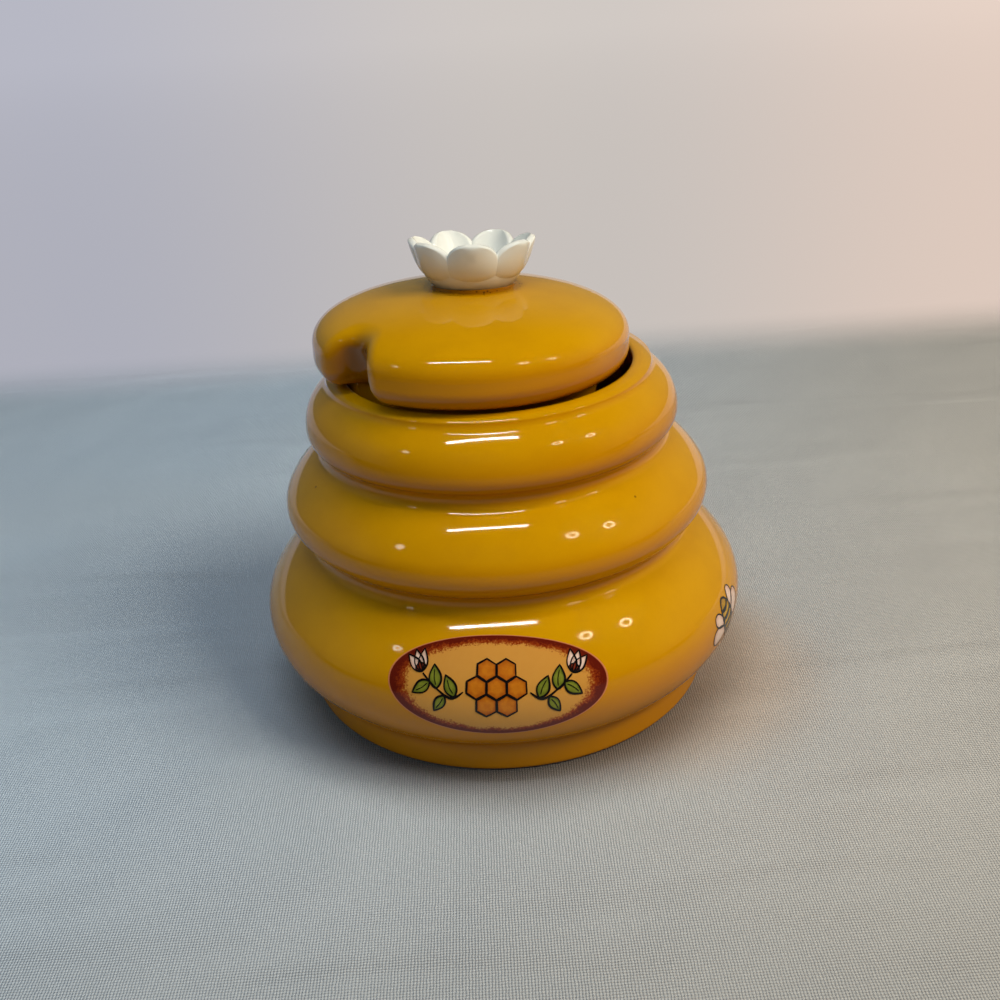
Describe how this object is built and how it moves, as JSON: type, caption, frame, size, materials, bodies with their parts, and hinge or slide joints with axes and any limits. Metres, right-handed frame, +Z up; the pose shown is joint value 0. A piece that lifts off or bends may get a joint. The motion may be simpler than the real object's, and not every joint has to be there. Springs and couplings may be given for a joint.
{
  "type": "honey pot with lift-off lid",
  "caption": "Glazed ceramic honey pot shaped as stacked coils, with a domed lift-off lid that has a dipper notch and a flower-shaped knob.",
  "frame": {"origin": "centre of the foot ring, on the plane that the pot stands on", "axes": "+Z up along the pot's axis, -Y towards the front that carries the label, +X to the viewer's right"},
  "size_m": [0.106, 0.106, 0.098],
  "materials": {
    "yellow_glaze": "gloss",
    "white_glaze": "gloss"
  },
  "bodies": {
    "pot": {"pot_body": "yellow_glaze"},
    "lid": {"lid": "yellow_glaze", "flower_knob": "white_glaze"}
  },
  "joints": [
    {"name": "lid_lift", "type": "slide", "parent": "pot", "child": "lid", "axis": [0, 0, 1], "range_m": [0, 0.12]}
  ]
}
